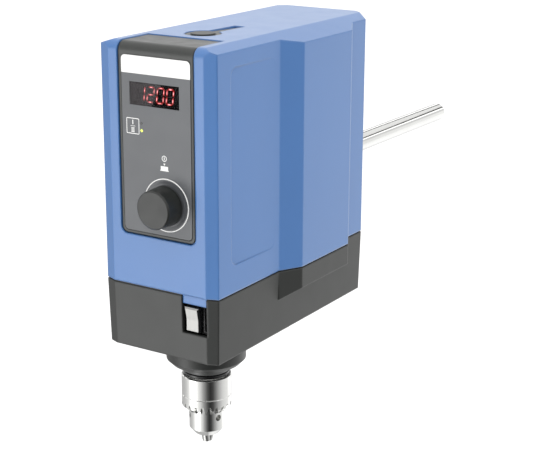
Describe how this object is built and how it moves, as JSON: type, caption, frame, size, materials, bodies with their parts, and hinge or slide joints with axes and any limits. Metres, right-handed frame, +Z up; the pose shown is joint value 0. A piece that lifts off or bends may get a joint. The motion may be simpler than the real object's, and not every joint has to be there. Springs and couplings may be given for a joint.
{
  "type": "overhead stirrer",
  "caption": "Overhead laboratory stirrer: box-shaped drive housing on a horizontal support rod, keyed three-jaw chuck below, display, knob and power rocker in front.",
  "frame": {"origin": "axis of the support rod at the rear face of the housing, where the rod's shoulder seats", "axes": "+Y back along the support rod, +Z up away from the chuck, +X to the right as seen from the front panel"},
  "size_m": [0.1162, 0.459, 0.3121],
  "materials": {
    "blue_paint": "smooth light-blue powder coat",
    "dark_grey_housing": "dark grey powder coat",
    "strip_grey": "fine satin",
    "membrane_grey": "satin film with printed marks",
    "display_glass": "dark tinted window",
    "segment_red": "lit red segments",
    "segment_dark": "unlit segments",
    "lamp_dark": "unlit lens",
    "lamp_green": "lit yellow-green lens",
    "circuit_board": "solder mask",
    "black_plastic": "moulded",
    "black_rubber": "smooth",
    "print_white": "printed line",
    "knob_grey": "satin moulded",
    "rocker_white": "moulded, glossy sides",
    "polished_rod": "ground and polished",
    "chuck_steel": "polished",
    "jaw_steel": "ground",
    "guard_grey": "satin",
    "zinc_steel": "zinc plated",
    "bearing_steel": "ground",
    "gear_steel": "hobbed, oiled",
    "cast_aluminium": "machined casting",
    "dark_iron": "laminated core",
    "brass_fork": "cast"
  },
  "bodies": {
    "housing": {"upper_housing": "blue_paint", "base_housing": "dark_grey_housing", "seam_gasket": "black_rubber", "housing_screws": "zinc_steel", "panel_strip": "strip_grey", "panel_membrane": "membrane_grey", "display_window": "display_glass", "display_module": "black_plastic", "lit_segments": "segment_red", "dark_segments": "segment_dark", "range_lamp_low": "lamp_dark", "range_lamp_high": "lamp_green", "control_board": "circuit_board", "encoder_body": "zinc_steel", "knob_trim_ring": "print_white", "switch_frame": "black_plastic", "mains_inlet": "black_plastic", "support_rod": "polished_rod", "rod_block": "cast_aluminium", "rod_screw": "zinc_steel", "lower_plate": "cast_aluminium", "upper_plate": "cast_aluminium", "frame_pillars": "zinc_steel", "motor_housing": "cast_aluminium", "motor_stator": "dark_iron", "layshaft_bearing_lower": "bearing_steel", "layshaft_bearing_upper": "bearing_steel", "spindle_bearing_lower": "bearing_steel", "spindle_bearing_upper": "bearing_steel", "bearing_neck": "dark_grey_housing", "chuck_guard": "guard_grey", "fork_rod": "bearing_steel", "power_board": "circuit_board", "board_standoffs": "zinc_steel"},
    "spindle": {"hollow_spindle": "bearing_steel", "high_gear": "gear_steel", "spindle_seal": "black_rubber", "chuck_body": "chuck_steel"},
    "low_gear": {"low_gear": "gear_steel"},
    "layshaft": {"layshaft": "bearing_steel", "input_gear": "gear_steel", "low_pinion": "gear_steel", "high_pinion": "gear_steel"},
    "rotor": {"motor_rotor": "dark_iron", "motor_pinion": "gear_steel"},
    "clutch_collar": {"clutch_collar": "gear_steel"},
    "shift_fork": {"shift_fork": "brass_fork"},
    "selector": {"selector_lever": "strip_grey"},
    "shaft_cap": {"shaft_cap": "dark_grey_housing"},
    "sleeve": {"chuck_sleeve": "chuck_steel", "chuck_nut": "gear_steel"},
    "jaw_1": {"chuck_jaw_1": "jaw_steel"},
    "jaw_2": {"chuck_jaw_2": "jaw_steel"},
    "jaw_3": {"chuck_jaw_3": "jaw_steel"},
    "pusher": {"push_plunger": "bearing_steel"},
    "knob": {"control_knob": "knob_grey", "knob_shaft": "bearing_steel"},
    "rocker": {"power_rocker": "rocker_white"}
  },
  "joints": [
    {"name": "spindle_spin", "type": "hinge", "parent": "housing", "child": "spindle", "pos_m": [0, -0.1642, 0], "axis": [0, 0, 1], "continuous": true},
    {"name": "low_gear_spin", "type": "hinge", "parent": "housing", "child": "low_gear", "pos_m": [0, -0.1642, 0], "axis": [0, 0, 1], "continuous": true},
    {"name": "layshaft_spin", "type": "hinge", "parent": "housing", "child": "layshaft", "pos_m": [0, -0.1142, 0], "axis": [0, 0, 1], "continuous": true},
    {"name": "rotor_spin", "type": "hinge", "parent": "housing", "child": "rotor", "pos_m": [0, -0.0702, 0], "axis": [0, 0, 1], "continuous": true},
    {"name": "selector_turn", "type": "hinge", "parent": "housing", "child": "selector", "pos_m": [0, -0.1642, 0.12], "axis": [0, 0, 1], "range_deg": [0, 8.3]},
    {"name": "fork_shift", "type": "slide", "parent": "housing", "child": "shift_fork", "axis": [0, 0, 1], "range_m": [0, 0.006]},
    {"name": "collar_shift", "type": "slide", "parent": "spindle", "child": "clutch_collar", "axis": [0, 0, 1], "range_m": [0, 0.0064]},
    {"name": "cap_lift", "type": "slide", "parent": "selector", "child": "shaft_cap", "axis": [0, 0, 1], "range_m": [0, 0.02]},
    {"name": "chuck_turn", "type": "hinge", "parent": "spindle", "child": "sleeve", "pos_m": [0, -0.1642, -0.15], "axis": [0, 0, 1], "range_deg": [0, 4868.3]},
    {"name": "jaw_1_slide", "type": "slide", "parent": "spindle", "child": "jaw_1", "axis": [0.1811, 0.1849, 0.9659], "range_m": [0, 0.02029]},
    {"name": "jaw_2_slide", "type": "slide", "parent": "spindle", "child": "jaw_2", "axis": [-0.2507, 0.0644, 0.9659], "range_m": [0, 0.02029]},
    {"name": "jaw_3_slide", "type": "slide", "parent": "spindle", "child": "jaw_3", "axis": [0.0696, -0.2493, 0.9659], "range_m": [0, 0.02029]},
    {"name": "knob_push", "type": "slide", "parent": "housing", "child": "pusher", "axis": [0, 1, 0], "range_m": [0, 0.0012], "stiffness_N_per_m": 1500},
    {"name": "knob_turn", "type": "hinge", "parent": "pusher", "child": "knob", "pos_m": [0.0076, -0.2213, 0.0114], "axis": [0, -1, 0], "continuous": true},
    {"name": "rocker_tilt", "type": "hinge", "parent": "housing", "child": "rocker", "pos_m": [0.0273, -0.2133, -0.0685], "axis": [-1, 0, 0], "range_deg": [0, 12]}
  ],
  "couplings": [
    {"joint": "layshaft_spin", "follows": "spindle_spin", "ratio": -0.81818},
    {"joint": "rotor_spin", "follows": "spindle_spin", "ratio": 3.1818},
    {"joint": "low_gear_spin", "follows": "spindle_spin", "ratio": 0.20455},
    {"joint": "selector_turn", "follows": "fork_shift", "rad_per_m": 23.271},
    {"joint": "collar_shift", "follows": "fork_shift", "ratio": 1},
    {"joint": "jaw_1_slide", "follows": "chuck_turn", "m_per_rad": 0.00023873},
    {"joint": "jaw_2_slide", "follows": "chuck_turn", "m_per_rad": 0.00023873},
    {"joint": "jaw_3_slide", "follows": "chuck_turn", "m_per_rad": 0.00023873}
  ]
}
